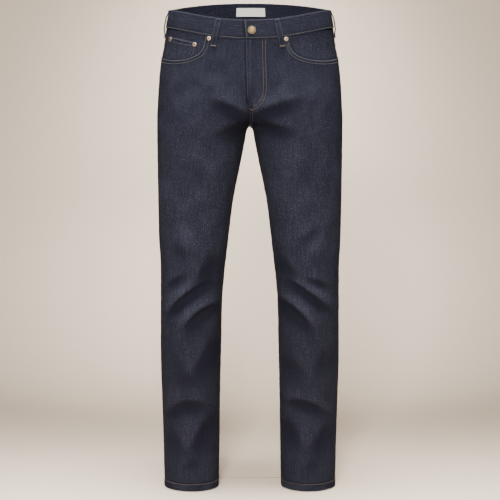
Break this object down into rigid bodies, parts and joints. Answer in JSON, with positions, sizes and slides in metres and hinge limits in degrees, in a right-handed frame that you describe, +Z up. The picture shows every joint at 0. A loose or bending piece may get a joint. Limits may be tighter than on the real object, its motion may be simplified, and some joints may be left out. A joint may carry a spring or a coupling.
{
  "type": "slim jeans",
  "caption": "Slim five-pocket jeans in dark indigo denim, filled out as if worn, with a fly, a shank button, belt loops, rivets and turned-up hems.",
  "frame": {"origin": "centre of the waist opening, level with the waistband's top edge at the side seams", "axes": "+Z up, out of the waist; -Y towards the front of the garment; +X towards the wearer's left"},
  "size_m": [0.4056, 0.2287, 1.0821],
  "materials": {
    "denim": "dark indigo raw denim, twill, matte with a faint sheen",
    "denim_trim": "dark indigo raw denim, folded or doubled",
    "brass": "old brass, satin",
    "copper": "copper-toned, satin",
    "woven_label": "off-white woven tape, bare"
  },
  "bodies": {
    "root": {"front_left": "denim", "front_right": "denim", "back_left": "denim", "back_right": "denim", "yoke_left": "denim", "yoke_right": "denim", "back_pocket_left": "denim", "back_pocket_right": "denim", "waistband": "denim", "pocket_facing_left": "denim_trim", "pocket_facing_right": "denim_trim", "coin_pocket": "denim_trim", "fly_shield": "denim_trim", "hem_left": "denim_trim", "hem_right": "denim_trim", "loop_front_left": "denim_trim", "loop_front_right": "denim_trim", "loop_side_left": "denim_trim", "loop_side_right": "denim_trim", "loop_back": "denim_trim", "button": "brass", "rivet_pocket_left": "copper", "rivet_pocket_right": "copper", "rivet_coin_inner": "copper", "rivet_coin_outer": "copper", "label": "woven_label"}
  },
  "joints": []
}
